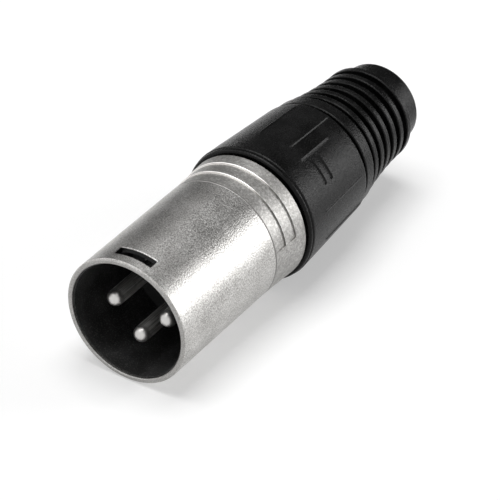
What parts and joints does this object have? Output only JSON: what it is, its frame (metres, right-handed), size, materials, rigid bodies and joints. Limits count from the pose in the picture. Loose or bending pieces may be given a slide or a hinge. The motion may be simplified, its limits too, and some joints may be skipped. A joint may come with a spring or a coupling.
{
  "type": "xlr plug",
  "caption": "Male cable plug with a round metal shell, recessed contact pins, a tapered black clamping nut and a ribbed strain-relief boot.",
  "frame": {"origin": "centre of the shell's mouth, on the plane of its rim", "axes": "+Z along the plug's axis towards the cable end; -Y towards the latch window; pins 1 and 2 on -X and +X"},
  "size_m": [0.0208, 0.0208, 0.0659],
  "materials": {
    "nickel_shell": "satin nickel plating on die-cast zinc",
    "black_insert": "moulded black nylon",
    "contact_metal": "silver-plated turned brass",
    "strip_metal": "tinned spring bronze",
    "white_chuck": "white acetal",
    "black_nut": "fine-grained black nylon",
    "soft_boot": "soft black polyurethane"
  },
  "bodies": {
    "shell_body": {"shell": "nickel_shell", "insert": "black_insert", "ground_contact": "strip_metal", "pin_1": "contact_metal", "pin_2": "contact_metal", "pin_3": "contact_metal"},
    "chuck_body": {"chuck": "white_chuck"},
    "nut_body": {"clamping_nut": "black_nut", "cable_boot": "soft_boot"}
  },
  "joints": [
    {"name": "nut_travel", "type": "slide", "parent": "shell_body", "child": "chuck_body", "axis": [0, 0, 1], "range_m": [0, 0.0063]},
    {"name": "nut_turn", "type": "hinge", "parent": "chuck_body", "child": "nut_body", "pos_m": [0, 0, 0.03], "axis": [0, 0, 1], "range_deg": [0, 1800]}
  ],
  "couplings": [
    {"joint": "nut_travel", "follows": "nut_turn", "m_per_rad": 0.00019894}
  ]
}
